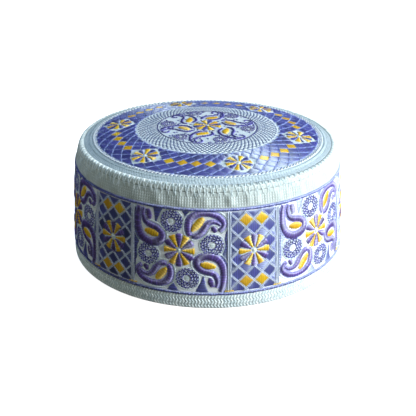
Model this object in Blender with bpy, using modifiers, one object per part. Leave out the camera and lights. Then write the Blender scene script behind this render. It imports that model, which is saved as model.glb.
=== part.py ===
"""A round embroidered prayer cap: a folded hem, an embroidered side band, a plain shoulder band,
a domed crown, and the overcast seam that joins the crown to the side. Metres, +Z up. The cap
stands on its hem at z = 0, its axis is Z, and the long axis of its slightly oval plan is X."""

import math

import bpy

# Heights of the pieces, which are stacked from the hem up.
HEM_HEIGHT = 0.0092
BAND_HEIGHT = 0.0570
SHOULDER_HEIGHT = 0.0086
CROWN_RISE = 0.0086

# Outer radii, as the mean of the plan's long and short half axes.
HEM_RADIUS = 0.0920
BAND_FOOT_RADIUS = 0.0915
BAND_TOP_RADIUS = 0.0869
CROWN_RADIUS = 0.0835

# How much longer than the mean the long half axis is, as a share of it. The short one is as much shorter.
PLAN_OVAL = 0.032

# Cloth thicknesses, and the clearance that sewn pieces keep.
SIDE_WALL = 0.0025
HEM_WALL = 0.0030
CROWN_WALL = 0.0025
SEWN_GAP = 0.0003

# The hem's rounded lower edges. The flat between them is what the cap rests on.
HEM_EDGE_ROUND = 0.0008

# How far the side swells past a straight line between a band's foot and its top.
HEM_BELLY = 0.0003
BAND_BELLY = 0.0005

# The couched cord that borders the embroidery above and below.
BORDER_CORD_WIDTH = 0.0023
BORDER_CORD_RELIEF = 0.0006

# The overcast seam: how far it covers the crown and the side from their corner, and its bulge there.
SEAM_WIDTH = 0.0028
SEAM_BULGE = 0.0004

# The crown's pale quilted border, between its embroidery and the seam.
CROWN_BORDER_WIDTH = 0.0075

# The soft gathers of the shoulder band, under the seam.
GATHER_COUNT = 36
GATHER_DEPTH = 0.0004

# The powers of the shoulder's turn inwards and of the crown's dome. A higher one turns in later.
SHOULDER_TURN = 1.5
DOME_FULLNESS = 2.5

RING_STEPS = 90
STEPS_PER_GATHER = 4

# The quilted rolls in the crown's pale border: where a roll's ridge lies and how wide it is, as
# shares of the border's width, and how high it stands, as a share of the crown's cloth.
BORDER_ROLLS = (
    # ridge, width, height
    (0.16, 0.26, 0.20),
    (0.46, 0.26, 0.16),
)

# The turned rings of the dome's face and of its underside, as shares of the embroidery's radius.
DOME_RINGS = (0.0, 0.2, 0.42, 0.63, 0.82, 1.0)
UNDERSIDE_RINGS = (1.0, 0.82, 0.63, 0.42, 0.0)

# Heights that follow from the stack.
BAND_FOOT = HEM_HEIGHT + SEWN_GAP
BAND_TOP = BAND_FOOT + BAND_HEIGHT
SHOULDER_FOOT = BAND_TOP + SEWN_GAP
SHOULDER_TOP = SHOULDER_FOOT + SHOULDER_HEIGHT
CROWN_FOOT = SHOULDER_TOP + SEWN_GAP
RIM_HEIGHT = CROWN_FOOT + SEAM_WIDTH


def clear_scene():
    for obj in list(bpy.data.objects):
        bpy.data.objects.remove(obj, do_unlink=True)


def swell(share):
    """0 at both ends of a band and 1 halfway up it."""
    return math.sin(math.pi * min(max(share, 0.0), 1.0))


def side_radius(z):
    """The mean outer radius of the cap's side at height z."""
    if z <= HEM_HEIGHT:
        share = z / HEM_HEIGHT
        line = HEM_RADIUS + (BAND_FOOT_RADIUS - HEM_RADIUS) * share
        return line + HEM_BELLY * swell(share)
    if z <= BAND_TOP:
        share = (z - HEM_HEIGHT) / (BAND_TOP - HEM_HEIGHT)
        line = BAND_FOOT_RADIUS + (BAND_TOP_RADIUS - BAND_FOOT_RADIUS) * share
        return line + BAND_BELLY * swell(share)
    share = (z - BAND_TOP) / (RIM_HEIGHT - BAND_TOP)
    return BAND_TOP_RADIUS + (CROWN_RADIUS - BAND_TOP_RADIUS) * share**SHOULDER_TURN


def crown_height(r):
    """The height of the crown's dome at radius r, without its rolls."""
    return RIM_HEIGHT + CROWN_RISE * (1.0 - (r / CROWN_RADIUS) ** DOME_FULLNESS)


def spread(low, high, count):
    """count values from low to high, ends included."""
    return [low + (high - low) * i / (count - 1) for i in range(count)]


def arc(centre, radius, start_deg, end_deg, count):
    """Points (r, z) along an arc."""
    angles = [math.radians(a) for a in spread(start_deg, end_deg, count)]
    return [(centre[0] + radius * math.cos(a), centre[1] + radius * math.sin(a)) for a in angles]


def hem_profile():
    """The folded hem, with a flat underside between two rounded edges."""
    round_edge = min(HEM_EDGE_ROUND, 0.4 * HEM_WALL)
    outer = [(side_radius(z), z) for z in spread(HEM_HEIGHT, round_edge, 4)]
    foot = outer[-1][0]
    outer_edge = arc((foot - round_edge, round_edge), round_edge, 0, -90, 4)[1:]
    inner_edge = arc((foot - HEM_WALL + round_edge, round_edge), round_edge, -90, -180, 4)
    inner = [(side_radius(HEM_HEIGHT) - HEM_WALL, HEM_HEIGHT)]
    return outer + outer_edge + inner_edge + inner


def border_cord(low, reliefs):
    """A border cord's cross section from its upper edge to its lower one, which lies at height low."""
    heights = [low + BORDER_CORD_WIDTH * share for share in (1.0, 0.75, 0.25, 0.0)]
    return [(side_radius(z) + BORDER_CORD_RELIEF * relief, z) for z, relief in zip(heights, reliefs)]


def band_profile():
    """The embroidered band, with a border cord standing out along its top and its foot."""
    top_cord = border_cord(BAND_TOP - BORDER_CORD_WIDTH, (0.35, 1.0, 1.0, 0.0))
    foot_cord = border_cord(BAND_FOOT, (0.0, 1.0, 1.0, 0.35))
    middle = [(side_radius(z), z) for z in spread(top_cord[-1][1], foot_cord[0][1], 5)[1:-1]]
    inner = [(side_radius(z) - SIDE_WALL, z) for z in spread(BAND_FOOT, BAND_TOP, 4)]
    return top_cord + middle + foot_cord + inner


def shoulder_profile():
    """The plain band that turns in over the head."""
    outer = [(side_radius(z), z) for z in spread(SHOULDER_TOP, SHOULDER_FOOT, 5)]
    inner = [(side_radius(z) - SIDE_WALL, z) for z in spread(SHOULDER_FOOT, SHOULDER_TOP, 3)]
    return outer + inner


def seam_ends():
    """Where the seam's upper and lower edges lie, on the crown and on the side."""
    inner_radius = CROWN_RADIUS - SEAM_WIDTH
    return (inner_radius, crown_height(inner_radius)), (side_radius(CROWN_FOOT), CROWN_FOOT)


def seam_profile():
    """The overcast roll round the crown's corner: a curve outside, and a slant against the crown."""
    top, foot = seam_ends()
    corner = (CROWN_RADIUS + 2 * SEAM_BULGE, RIM_HEIGHT + 2 * SEAM_BULGE)
    points = []
    for t in spread(0.0, 1.0, 6):
        weights = ((1 - t) ** 2, 2 * t * (1 - t), t * t)
        points.append(tuple(sum(w * p[i] for w, p in zip(weights, (top, corner, foot))) for i in (0, 1)))
    return points


def border_height(r, start):
    """The height of the crown's pale border at radius r, with its quilted rolls."""
    height = crown_height(r)
    for ridge, width, roll in BORDER_ROLLS:
        away = abs(r - start - ridge * CROWN_BORDER_WIDTH) / (0.5 * width * CROWN_BORDER_WIDTH)
        if away < 1.0:
            height += CROWN_WALL * roll * math.cos(0.5 * math.pi * away)
    return height


def crown_profile():
    """The domed crown, from its centre out to the slanted rim under the seam and back below."""
    top, foot = seam_ends()
    slant = math.hypot(foot[0] - top[0], foot[1] - top[1])
    sideways_gap = SEWN_GAP * slant / (top[1] - foot[1])
    rim_top = top[0] - sideways_gap
    rim_foot = foot[0] - sideways_gap
    start = top[0] - CROWN_BORDER_WIDTH
    upper = [(start * share, crown_height(start * share)) for share in DOME_RINGS]
    for ridge, width, _ in BORDER_ROLLS:
        for side in (-0.5, 0.0, 0.5):
            r = start + CROWN_BORDER_WIDTH * (ridge + side * width)
            upper.append((r, border_height(r, start)))
    landing = side_radius(SHOULDER_TOP) - SIDE_WALL - SEWN_GAP
    rim = [(rim_top, crown_height(rim_top)), (rim_foot, CROWN_FOOT), (landing, CROWN_FOOT)]
    below = [start * share for share in UNDERSIDE_RINGS]
    lower = [(r, crown_height(r) - CROWN_WALL) for r in below]
    return upper + rim + lower


def turned(name, profile, steps, closed):
    """A mesh object turned round Z from a profile that runs down its outer side."""
    mesh = bpy.data.meshes.new(name + "_profile")
    edges = [(i, i + 1) for i in range(len(profile) - 1)]
    if closed:
        edges.append((len(profile) - 1, 0))
    mesh.from_pydata([(r, 0.0, z) for r, z in profile], edges, [])
    guide = bpy.data.objects.new(name + "_profile", mesh)
    bpy.context.scene.collection.objects.link(guide)
    screw = guide.modifiers.new("turn", "SCREW")
    screw.steps = steps
    screw.render_steps = steps
    screw.use_merge_vertices = True
    screw.merge_threshold = 0.00001
    graph = bpy.context.evaluated_depsgraph_get()
    solid = bpy.data.meshes.new_from_object(guide.evaluated_get(graph))
    bpy.data.objects.remove(guide, do_unlink=True)
    solid.name = name
    return bpy.data.objects.new(name, solid)


def gather_shift(angle, z):
    """How far the shoulder's gathers move its cloth outwards."""
    share = (z - SHOULDER_FOOT) / SHOULDER_HEIGHT
    return GATHER_DEPTH * swell(share) * math.cos(GATHER_COUNT * angle)


def make_oval(obj, shift=None):
    """Gives a turned piece the cap's oval plan, and the gathers that shift describes."""
    for vertex in obj.data.vertices:
        x, y, z = vertex.co
        radius = math.hypot(x, y)
        if radius < 1e-9:
            continue
        angle = math.atan2(y, x)
        scale = 1.0 + PLAN_OVAL * math.cos(2 * angle)
        if shift:
            scale += shift(angle, z) / radius
        vertex.co.x = x * scale
        vertex.co.y = y * scale


def cloth(name, colour, roughness):
    material = bpy.data.materials.new(name)
    material.use_nodes = True
    shader = material.node_tree.nodes["Principled BSDF"]
    shader.inputs["Base Color"].default_value = (*colour, 1.0)
    shader.inputs["Roughness"].default_value = roughness
    shader.inputs["Metallic"].default_value = 0.0
    return material


def finish_piece(obj, material, collection, parent):
    obj.data.shade_smooth()
    obj.data.set_sharp_from_angle(angle=math.radians(40))
    obj.data.materials.append(material)
    collection.objects.link(obj)
    obj.parent = parent


def build():
    clear_scene()
    collection = bpy.data.collections.new("prayer_cap")
    bpy.context.scene.collection.children.link(collection)
    cap = bpy.data.objects.new("cap_axis", None)
    collection.objects.link(cap)

    gathered_steps = GATHER_COUNT * STEPS_PER_GATHER
    hem = turned("hem_band", hem_profile(), RING_STEPS, True)
    band = turned("embroidered_band", band_profile(), RING_STEPS, True)
    shoulder = turned("shoulder_band", shoulder_profile(), gathered_steps, True)
    seam = turned("crown_edge_seam", seam_profile(), RING_STEPS, True)
    crown = turned("crown_panel", crown_profile(), RING_STEPS, False)

    make_oval(hem)
    make_oval(band)
    make_oval(shoulder, gather_shift)
    make_oval(seam)
    make_oval(crown)

    finish_piece(hem, cloth("hem_cloth", (0.62, 0.70, 0.70), 0.8), collection, cap)
    finish_piece(band, cloth("violet_embroidery", (0.14, 0.11, 0.42), 0.45), collection, cap)
    finish_piece(shoulder, cloth("shoulder_cloth", (0.66, 0.73, 0.73), 0.8), collection, cap)
    finish_piece(seam, cloth("seam_thread", (0.78, 0.86, 0.87), 0.5), collection, cap)
    finish_piece(crown, cloth("crown_cloth", (0.38, 0.40, 0.62), 0.6), collection, cap)


build()
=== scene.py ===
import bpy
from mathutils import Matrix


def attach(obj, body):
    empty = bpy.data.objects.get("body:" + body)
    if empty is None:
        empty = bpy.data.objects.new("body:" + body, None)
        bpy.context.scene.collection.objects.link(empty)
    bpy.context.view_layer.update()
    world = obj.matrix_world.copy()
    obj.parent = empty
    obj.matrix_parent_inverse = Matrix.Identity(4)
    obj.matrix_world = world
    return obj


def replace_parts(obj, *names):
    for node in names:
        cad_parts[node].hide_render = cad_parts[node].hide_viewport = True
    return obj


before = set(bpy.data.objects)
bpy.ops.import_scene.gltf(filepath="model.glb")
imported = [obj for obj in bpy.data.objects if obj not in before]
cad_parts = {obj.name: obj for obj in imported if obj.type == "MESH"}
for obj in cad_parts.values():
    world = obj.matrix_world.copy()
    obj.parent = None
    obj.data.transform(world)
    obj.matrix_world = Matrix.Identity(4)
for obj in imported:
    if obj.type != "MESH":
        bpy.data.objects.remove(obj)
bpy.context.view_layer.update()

import math

import bpy
import numpy as np
from mathutils import Vector

# The cap's cloth, its embroidery and the photo's light. All charts and sizes are in millimetres.
# The cap stands on its hem at z = 0, its axis is Z, and angles run anticlockwise seen from above.
MM = 0.001

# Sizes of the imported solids, which the cloth follows.
HEM_HEIGHT = 9.2
BAND_HEIGHT = 57.0
SHOULDER_HEIGHT = 8.6
CROWN_RISE = 8.6
HEM_RADIUS = 92.0
BAND_FOOT_RADIUS = 91.5
BAND_TOP_RADIUS = 86.9
CROWN_RADIUS = 83.5
PLAN_OVAL = 0.032
SIDE_WALL = 2.5
HEM_WALL = 3.0
CROWN_WALL = 2.5
SEWN_GAP = 0.3
HEM_EDGE_ROUND = 0.8
HEM_BELLY = 0.3
BAND_BELLY = 0.5
BORDER_CORD_WIDTH = 2.3
SEAM_WIDTH = 2.8
SEAM_BULGE = 0.4
CROWN_BORDER_WIDTH = 7.5
GATHER_COUNT = 36
GATHER_DEPTH = 0.4
SHOULDER_TURN = 1.5
DOME_FULLNESS = 2.5

# The quilted rolls: where a ridge lies across the border, how wide it is, and its share of the wall.
BORDER_ROLLS = ((0.16, 0.26, 0.20), (0.46, 0.26, 0.16))

# Heights and radii that follow from them.
BAND_FOOT = HEM_HEIGHT + SEWN_GAP
BAND_TOP = BAND_FOOT + BAND_HEIGHT
SHOULDER_FOOT = BAND_TOP + SEWN_GAP
SHOULDER_TOP = SHOULDER_FOOT + SHOULDER_HEIGHT
CROWN_FOOT = SHOULDER_TOP + SEWN_GAP
RIM_HEIGHT = CROWN_FOOT + SEAM_WIDTH
BORDER_START = CROWN_RADIUS - SEAM_WIDTH - CROWN_BORDER_WIDTH
CAP_MIDDLE = np.array([0.0, 0.0, 30.0])

# The side's charts: x runs to the right along the cloth and y up it, from a panel's centre.
SIDE_REACH = 89.0
PANEL_MIDDLE = 0.5 * (BAND_FOOT + BAND_TOP)
CHART_CORD_HEIGHT = 28.1
CHART_SQUEEZE = (0.5 * BAND_HEIGHT - 0.5 * BORDER_CORD_WIDTH) / CHART_CORD_HEIGHT
PANEL_COUNT = 6
PAISLEY_PANEL_ANGLE = 30.0
LATTICE_PANEL_ANGLE = -0.3
LATTICE_HALF_WIDTH = 15.5
LATTICE_FLOWER = (0.0, 0.6)
LATTICE_STEPS = (5.0, 5.2)
PANEL_HALF_HEIGHT = 27.1

# The crown's rings, as radii.
MEDALLION_RADIUS = 32.6
PALE_RING_RADIUS = 46.4
RING_CELLS = 42
RING_MIDDLE = 59.5
RING_ROW_STEP = 3.75
PALE_CELLS = 84
PALE_ROW_STEP = 1.75
CROWN_FLOWER_RADIUS = 60.0
CROWN_FLOWER_ROUND = 10.2

# Stitches: the width of one, how low the valley between two is, and how unevenly they are laid.
SATIN_PITCH = 1.8
CELL_PITCH = 1.4
ROPE_PITCH = 1.2
ROPE_SLANT = 0.4
STRAND_WIDTH = 0.45
VALLEY = 0.5
ROPE_VALLEY = 0.3
EDGE_NOTCH = 0.26
CELL_NOTCH = 0.05
SUNK = -0.35

# How many steps a smooth line takes from one point of its chart to the next.
SPAN_STEPS = 8

# Painted shade on the thread's colour: how light it is made between two stitches and along a stitch's edge,
# where 1 is its top.
VALLEY_PAINTED_SHADE = 0.05
EDGE_PAINTED_SHADE = 0.3

# How much wider than its chart a violet band and a gold seed are sewn, and its lavender edge beyond that.
VIOLET_FULLNESS = 1.22
SEED_FULLNESS = 1.35
LAVENDER_EDGE = 0.75

# A rosette's rings of zigzags: inner radius, outer radius, how many teeth.
ROSETTE_RINGS = ((2.3, 4.1, 10), (4.0, 5.7, 15), (5.6, 7.3, 20))

# Cross sections of a strip of stitches: the share of its width, and the share of its height.
PILLOW = ((0.0, SUNK), (0.09, 0.55), (0.3, 0.94), (0.5, 1.0), (0.7, 0.94), (0.91, 0.55), (1.0, SUNK))
SMALL_PILLOW = ((0.0, SUNK), (0.16, 0.7), (0.5, 1.0), (0.84, 0.7), (1.0, SUNK))

# One laid stitch: the share of its length, and there its share of the width and of the height.
STITCH_LENGTH_STEPS = (
    (0.0, 0.3, SUNK), (0.14, 0.85, 0.75), (0.5, 1.0, 1.0), (0.86, 0.85, 0.75), (1.0, 0.3, SUNK),
)
STITCH_WIDTH_STEPS = ((-0.5, SUNK), (-0.26, 0.9), (0.26, 0.9), (0.5, SUNK))

# Paisley panel. Bands of violet satin: x, y, width.
HOOKED_PAISLEY_BACK = (
    (6.9, 11.3, 1.6), (5.6, 13.6, 2.8), (5.2, 18.0, 3.3), (6.2, 21.8, 3.4), (9.0, 24.6, 3.4),
    (13.0, 26.0, 2.9), (18.0, 26.1, 2.7), (22.5, 24.9, 3.0), (26.0, 22.2, 3.0), (27.4, 19.2, 2.6),
    (26.4, 16.6, 2.0), (24.2, 14.9, 1.8),
)
HOOKED_PAISLEY_FRONT = (
    (7.4, 11.3, 1.8), (10.0, 11.2, 2.8), (13.0, 12.9, 3.0), (15.2, 16.0, 3.0), (17.0, 19.0, 2.8),
    (19.5, 20.7, 2.2), (22.0, 20.7, 1.8), (24.3, 19.6, 1.4), (25.5, 18.2, 1.1),
)
HOOKED_PAISLEY_CURL = ((23.0, 14.3, 1.6), (21.4, 15.9, 3.3), (20.2, 18.4, 1.6))
HOOKED_PAISLEY_SEED = (
    (7.6, 14.0, 1.0), (9.0, 16.3, 3.2), (11.3, 19.0, 4.0), (13.3, 21.6, 3.4), (14.9, 23.6, 1.6),
)
LONG_PAISLEY_BODY = (
    (-26.0, 29.6, 2.4), (-26.8, 26.9, 2.6), (-27.8, 22.0, 3.2), (-28.0, 17.0, 3.4), (-27.4, 12.0, 3.7),
    (-25.4, 7.8, 4.1), (-22.2, 5.2, 4.3), (-18.4, 4.4, 4.3), (-14.2, 5.3, 4.2), (-11.5, 7.8, 3.8),
    (-11.4, 10.9, 3.4), (-13.0, 13.3, 3.2), (-15.8, 14.9, 3.1), (-19.5, 15.8, 3.1), (-22.4, 17.3, 2.8),
    (-23.9, 20.3, 2.3), (-24.1, 23.8, 1.9), (-23.0, 26.4, 1.6),
)
LONG_PAISLEY_CURL = ((-21.2, 26.2, 2.2), (-20.2, 22.6, 3.7), (-19.8, 18.9, 2.2))
LONG_PAISLEY_SEED = ((-23.2, 12.0, 1.4), (-20.0, 11.2, 3.7), (-16.8, 10.6, 3.9), (-13.3, 9.9, 1.8))

# The first row of the long paisley and of a ground is for the lower border only, which lies farther out.
LOWER_BORDER = 30.0

# Violet grounds in the panel's gaps: y, left edge, right edge.
SLIVER_GROUND = (
    (17.5, 29.4, 30.2), (15.0, 28.9, 30.2), (12.5, 28.2, 30.2), (9.5, 27.4, 30.2), (6.0, 27.6, 30.2),
    (2.5, 27.3, 30.2), (-1.0, 26.0, 30.2), (-3.4, 24.2, 30.2), (-5.5, 26.2, 30.2), (-8.5, 28.2, 30.2),
    (-11.0, 29.3, 30.2),
)
BAR_GROUND = (
    (LOWER_BORDER, -19.2, -9.6), (27.6, -18.2, -10.6), (24.6, -17.1, -12.2), (21.5, -16.7, -13.6),
    (18.0, -16.2, -14.8),
)
WEDGE_GROUND = ((LOWER_BORDER, -0.6, 8.0), (27.6, 0.8, 6.9), (25.6, 2.2, 5.5), (23.2, 3.3, 4.2))

# The middles of the rosettes and of the flower, and the ring round a rosette.
ROSETTES = ((-5.3, 19.9), (20.1, 5.4), (-20.5, -4.0), (4.6, -17.9))
ROSETTE_ROUND = 7.8
PANEL_FLOWER = (-0.3, 1.2)
FLOWER_STRETCH = 1.14

# How many lavender stitches lie on each border cord.
SPECK_COUNT = 200

# The crown's curls: how many places are tried, a curl's radius, and the least ways to a motif, to
# another curl and to the crown's centre.
CURL_TRIES = 2600
CURL_RADIUS = 0.75
CURL_TO_MOTIF = 2.0
CURL_TO_CURL = 1.75
CURL_TO_CENTRE = 10.5

# The foot of each border between two panels has a few gold stitches: x, y, width.
GOLD_DASH = ((-3.2, -26.3, 0.9), (0.0, -26.6, 1.3), (3.2, -26.3, 0.9))

# The crown's paisleys: x runs round the crown and y outwards from its centre.
CROWN_PAISLEY = (
    (-5.6, 31.2, 1.2), (-8.2, 28.4, 1.7), (-9.4, 24.0, 2.0), (-8.4, 17.2, 2.3), (-4.2, 12.2, 2.3),
    (1.4, 11.2, 2.0),
)
CROWN_PAISLEY_TAIL = (
    (4.3, 12.8, 1.6), (5.2, 15.4, 2.5), (3.6, 18.2, 2.3), (0.4, 20.4, 2.1), (-3.2, 21.9, 1.9),
    (-5.4, 24.6, 1.6), (-5.7, 28.2, 1.5), (-3.8, 30.8, 1.6), (-1.2, 30.0, 1.8), (-0.9, 27.6, 1.8),
    (-2.6, 26.4, 1.1),
)
CROWN_PAISLEY_SEED = ((-5.7, 18.4, 1.4), (-3.4, 16.6, 3.2), (-0.4, 15.3, 3.3), (2.4, 14.2, 1.8))
CROWN_PAISLEY_ANGLE = 36.0
CROWN_ROSETTE_REACH = 26.8

# Petals: start and end from the flower's centre, and widths there and at the shoulder of the petal.
GOLD_PETAL = ((0.0, 1.0), (0.3, 2.2), (0.65, 3.7), (0.9, 4.8), (1.0, 4.4))
VIOLET_PETAL = ((0.0, 1.0), (0.3, 2.6), (0.6, 4.2), (0.82, 4.7), (0.94, 3.8), (1.0, 2.2))

# The shoulder's rows of needle holes: heights, how many round the cap, their depth and their width.
NEEDLE_ROWS = tuple(SHOULDER_FOOT + height for height in (1.1, 2.7, 4.3, 5.9))
NEEDLE_COUNT = 330
NEEDLE_DEPTH = 0.35
NEEDLE_SPREAD = 0.42

# The shoulder's uneven folds: how many round the cap, height, phase.
FOLDS = ((47, 0.10, 0.3), (59, 0.15, 2.1), (71, 0.13, 4.4), (88, 0.12, 1.2), (103, 0.08, 5.0))

# The overcast stitches: how many round the cap, and their peak and foot, from the seam's ridge down.
HOOK_COUNT = 138
HOOK_PEAK = -2.7
HOOK_FOOT = 4.1

# The hem's slanting stitches: rows, how many in a row, the lowest foot, and half their lean.
HEM_ROWS = 4
HEM_ROW_COUNT = 280
HEM_ROW_FOOT = 0.45
HEM_HALF_LEAN = 0.85

# How many faces each cloth has round the cap.
HEM_STEPS = 480
SIDE_STEPS = 360
SHOULDER_STEPS = 4 * NEEDLE_COUNT
CROWN_STEPS = 300

draw = np.random.default_rng(29)


def swell(share):
    """0 at both ends of a band and 1 halfway up it."""
    return np.sin(np.pi * np.clip(share, 0.0, 1.0))


def side_radius(z):
    """The side's mean outer radius at height z."""
    z = np.asarray(z, float)
    hem = z / HEM_HEIGHT
    hem_radius = HEM_RADIUS + (BAND_FOOT_RADIUS - HEM_RADIUS) * hem + HEM_BELLY * swell(hem)
    band = (z - HEM_HEIGHT) / (BAND_TOP - HEM_HEIGHT)
    band_radius = BAND_FOOT_RADIUS + (BAND_TOP_RADIUS - BAND_FOOT_RADIUS) * band + BAND_BELLY * swell(band)
    top = np.clip((z - BAND_TOP) / (RIM_HEIGHT - BAND_TOP), 0.0, None)
    top_radius = BAND_TOP_RADIUS + (CROWN_RADIUS - BAND_TOP_RADIUS) * top**SHOULDER_TURN
    return np.where(z <= HEM_HEIGHT, hem_radius, np.where(z <= BAND_TOP, band_radius, top_radius))


def dome_height(r):
    return RIM_HEIGHT + CROWN_RISE * (1.0 - (np.asarray(r, float) / CROWN_RADIUS) ** DOME_FULLNESS)


def crown_height(r):
    """The crown's height at radius r, with the quilted rolls of its border."""
    height = dome_height(r)
    for ridge, width, roll in BORDER_ROLLS:
        away = np.abs(r - BORDER_START - ridge * CROWN_BORDER_WIDTH) / (0.5 * width * CROWN_BORDER_WIDTH)
        height = height + CROWN_WALL * roll * np.cos(0.5 * np.pi * np.minimum(away, 1.0))
    return height


def seam_curve(count):
    """Points (r, z) over the overcast seam, from the crown to the shoulder."""
    inner = CROWN_RADIUS - SEAM_WIDTH
    top = np.array([inner, dome_height(inner)])
    foot = np.array([side_radius(CROWN_FOOT), CROWN_FOOT])
    corner = np.array([CROWN_RADIUS + 2 * SEAM_BULGE, RIM_HEIGHT + 2 * SEAM_BULGE])
    t = np.linspace(0.0, 1.0, count)[:, None]
    return (1 - t) ** 2 * top + 2 * t * (1 - t) * corner + t * t * foot


def joined(*columns):
    """Points from their separate coordinates."""
    return np.stack(np.broadcast_arrays(*columns), -1)


def turned(radius, angle, *height):
    """Points from their distance and direction from the axis, and their height."""
    return joined(radius * np.cos(angle), radius * np.sin(angle), *height)


def oval(angle):
    return 1.0 + PLAN_OVAL * np.cos(2 * angle)


def side_point(angle, z, lift):
    """A point that stands lift proud of the side."""
    lean = (side_radius(z + 0.1) - side_radius(z - 0.1)) / 0.2
    steep = np.sqrt(1.0 + lean * lean)
    return turned(side_radius(z) * oval(angle) + lift / steep, angle, z - lift * lean / steep)


def crown_point(x, y, lift):
    """A point lift above the crown, from its place on a round plan."""
    r, angle = np.hypot(x, y), np.arctan2(y, x)
    rise = (crown_height(r + 0.1) - crown_height(np.maximum(r - 0.1, 0.0))) / 0.2
    steep = np.sqrt(1.0 + rise * rise)
    return turned(r * oval(angle) + lift * np.abs(rise) / steep, angle, crown_height(r) + lift / steep)


def side_panel(angle):
    """Places a chart on the side, centred at this angle in degrees."""
    middle = math.radians(angle)
    return lambda x, y, lift: side_point(middle + x / SIDE_REACH, PANEL_MIDDLE + CHART_SQUEEZE * y, lift)


def around(x, y, angle):
    """A crown sector's x and y as the crown's own, its middle lying at this angle in degrees."""
    cosine, sine = math.cos(math.radians(angle)), math.sin(math.radians(angle))
    return y * cosine - x * sine, y * sine + x * cosine


def crown_sector(angle):
    """Places a chart on the crown, with y pointing outwards at this angle in degrees."""
    return lambda x, y, lift: crown_point(*around(x, y, angle), lift)


def crown_ring(x, y, lift):
    """Places a strip chart round the crown: x is the way round at the ring's middle, y the radius."""
    angle = x / RING_MIDDLE
    return crown_point(y * np.cos(angle), y * np.sin(angle), lift)


def side_ring(x, y, lift):
    """Places a strip chart round the side: x is the way round and y the height."""
    return side_point(x / SIDE_REACH, y, lift)


def unit(vectors):
    return vectors / np.maximum(np.linalg.norm(vectors, axis=-1, keepdims=True), 1e-9)


def line_marks(line):
    """How far along a line each of its points lies."""
    steps = np.linalg.norm(np.diff(line, axis=0), axis=1)
    return np.concatenate([[0.0], np.cumsum(steps)])


def at_marks(line, marks, wanted):
    return np.stack([np.interp(wanted, marks, column) for column in line.T], -1)


def smooth(chart):
    """A smooth line through a chart's points, with its other columns smoothed alike."""
    points = np.asarray(chart, float)
    ends = np.concatenate([2 * points[:1] - points[1:2], points, 2 * points[-1:] - points[-2:-1]])
    t = np.linspace(0.0, 1.0, SPAN_STEPS, endpoint=False)[:, None]
    spans = []
    for a, b, c, d in zip(ends, ends[1:], ends[2:], ends[3:]):
        curve = 2 * b + (c - a) * t + (2 * a - 5 * b + 4 * c - d) * t**2 + (3 * b - a - 3 * c + d) * t**3
        spans.append(0.5 * curve)
    return np.concatenate(spans + [points[-1:]])


def band_edges(line, widths):
    """The left and right edges of a band along a line."""
    along = unit(np.gradient(line, axis=0))
    across = joined(-along[:, 1], along[:, 0])
    half = 0.5 * np.broadcast_to(widths, len(line))[:, None]
    return line + half * across, line - half * across


def circle(radius, count, centre=(0.0, 0.0)):
    return centre + turned(radius, np.linspace(0.0, 2 * np.pi, count + 1))


class Sewing:
    """The stitches of one piece, gathered until they become one mesh."""

    def __init__(self):
        self.points = []
        self.quads = []
        self.threads = []
        self.tones_and_shades = []
        self.count = 0

    def add(self, points, threads, tones_and_shades, wrap=False, closed=False):
        """Adds grids of points, each stations x rows.

        With wrap, a grid's last station repeats its first, and with closed, its last row does."""
        grids, stations, rows = points.shape[:3]
        kept, across = stations - wrap, rows - closed
        first = self.count + np.arange(grids)[:, None, None] * kept * across
        place = first + np.arange(stations)[None, :, None] % kept * across + np.arange(rows) % across
        faces = []
        for grid in (place, threads, tones_and_shades):
            corners = [self.shifted(grid, *corner) for corner in ((0, 0), (1, 0), (1, 1), (0, 1))]
            faces.append(np.stack(corners, 3).reshape(-1, 4, *grid.shape[3:]))
        low, along, both = (self.shifted(points, *corner) for corner in ((0, 0), (1, 0), (0, 1)))
        facing = np.sum(np.cross(along - low, both - low) * (low - CAP_MIDDLE), axis=-1)
        turn = -1 if facing.sum() < 0 else 1
        self.points.append(points[:, :kept, :across].reshape(-1, 3))
        for store, values in zip((self.quads, self.threads, self.tones_and_shades), faces):
            store.append(values[:, ::turn])
        self.count += grids * kept * across

    @staticmethod
    def shifted(grid, station, row):
        """The grid's values at one corner of every face."""
        stations, rows = grid.shape[1:3]
        return grid[:, station : stations - 1 + station, row : rows - 1 + row]

    def finish(self, name, material, slot):
        """Makes the piece, which rides on the cap."""
        mesh = bpy.data.meshes.new(name)
        points = np.concatenate(self.points) * MM
        quads = np.concatenate(self.quads)
        mesh.vertices.add(len(points))
        mesh.vertices.foreach_set("co", points.astype(np.float32).ravel())
        mesh.loops.add(quads.size)
        mesh.loops.foreach_set("vertex_index", quads.astype(np.int32).ravel())
        mesh.polygons.add(len(quads))
        mesh.polygons.foreach_set("loop_start", np.arange(0, quads.size, 4, dtype=np.int32))
        mesh.update(calc_edges=True)
        thread = mesh.uv_layers.new(name="thread")
        thread.uv.foreach_set("vector", np.concatenate(self.threads).astype(np.float32).ravel())
        # Each corner's tone, together with painted shade in valleys, along edges and in needle holes.
        tone_and_shade = mesh.attributes.new("tone_and_shade", "FLOAT", "CORNER")
        tone_and_shade.data.foreach_set("value", np.concatenate(self.tones_and_shades).astype(np.float32).ravel())
        mesh.shade_smooth()
        mesh.validate()
        piece = bpy.data.objects.new(name, mesh)
        bpy.context.scene.collection.objects.link(piece)
        mesh.materials.append(material)
        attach(piece, "root")
        return piece


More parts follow.
